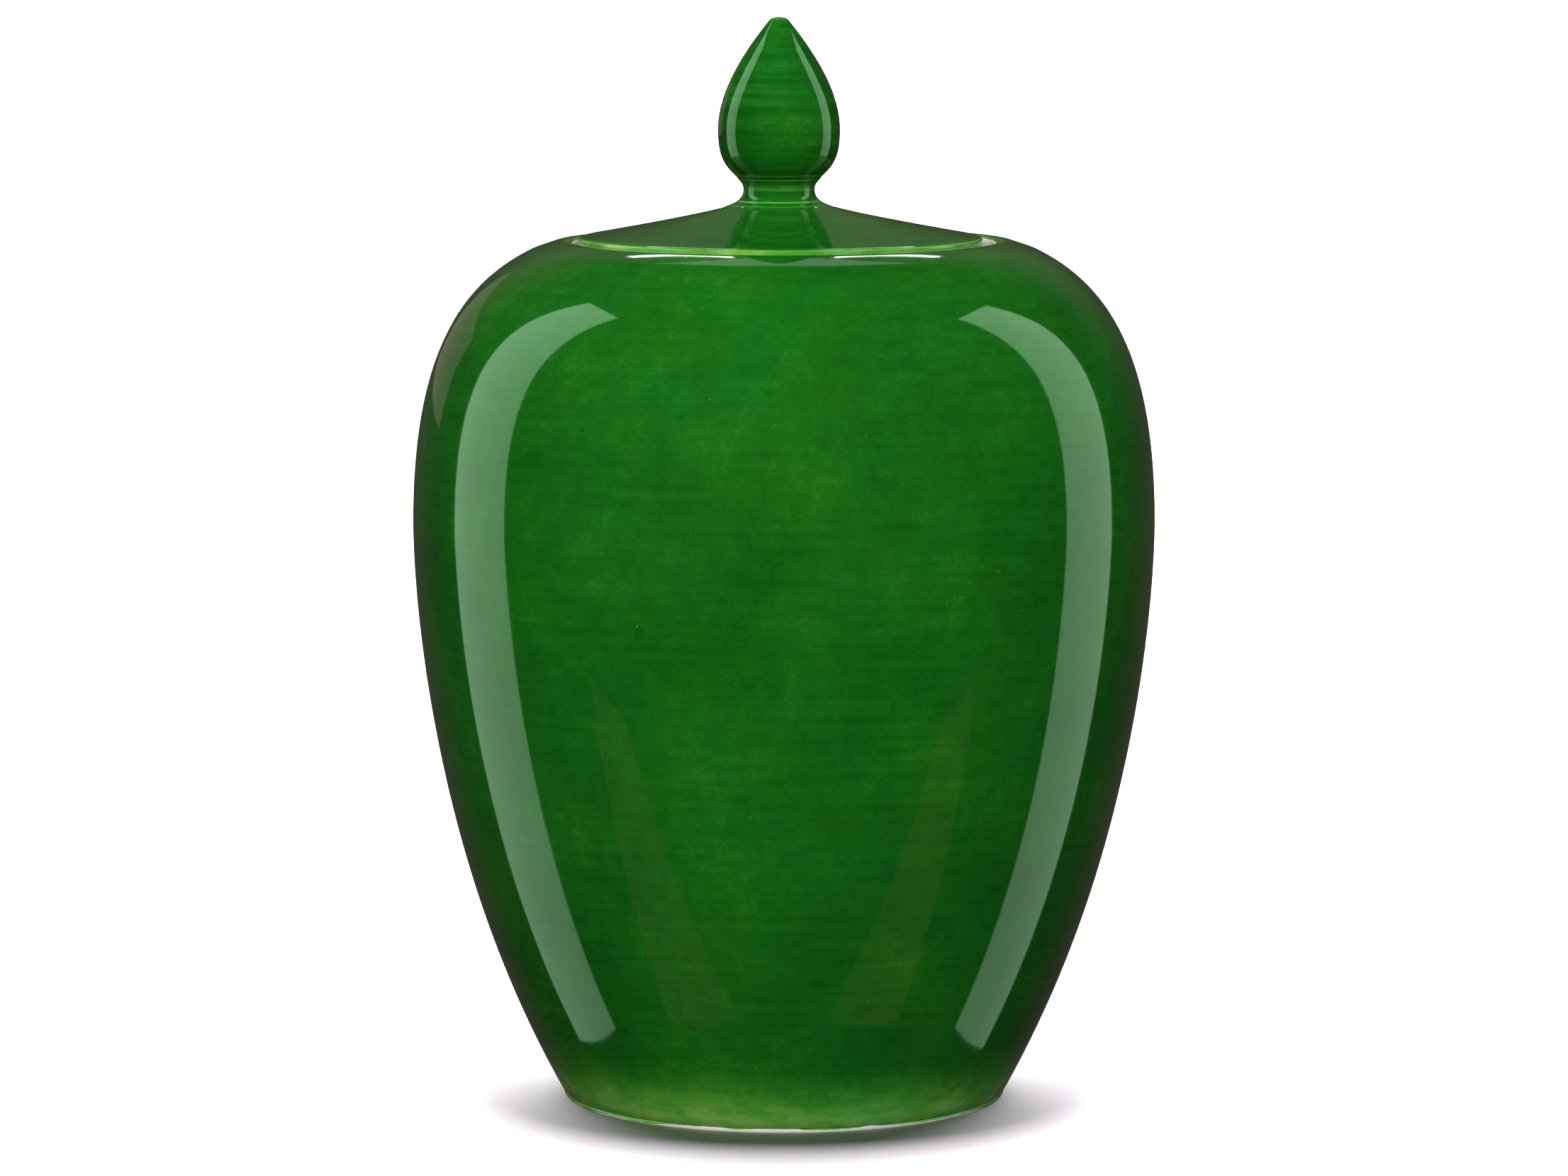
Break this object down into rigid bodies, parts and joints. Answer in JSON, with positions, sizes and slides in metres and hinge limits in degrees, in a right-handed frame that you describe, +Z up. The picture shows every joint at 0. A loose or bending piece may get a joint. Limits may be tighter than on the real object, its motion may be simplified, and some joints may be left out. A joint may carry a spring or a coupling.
{
  "type": "ginger jar",
  "caption": "Tall round-shouldered ceramic jar in green crackle glaze, with a sunken low cone lid that lifts off by a pointed bud finial.",
  "frame": {"origin": "centre of the foot's underside, on the surface that the jar stands on", "axes": "+Z up along the jar's axis to the finial; -Y towards the viewer's side; the jar is round, and the lid sits 1.7 mm towards -X"},
  "size_m": [0.331, 0.331, 0.4825],
  "materials": {
    "green_glaze": "glossy transparent crackle glaze over pale clay",
    "bare_clay": "unglazed, matt"
  },
  "bodies": {
    "jar": {"jar_body": "green_glaze", "foot_ring": "bare_clay", "mouth_gallery": "bare_clay"},
    "lid": {"lid_plate": "green_glaze", "lid_flange": "bare_clay", "finial_stem": "green_glaze", "finial_bud": "green_glaze"}
  },
  "joints": [
    {"name": "lid_lift", "type": "slide", "parent": "jar", "child": "lid", "axis": [0, 0, 1], "range_m": [0, 0.25]}
  ]
}
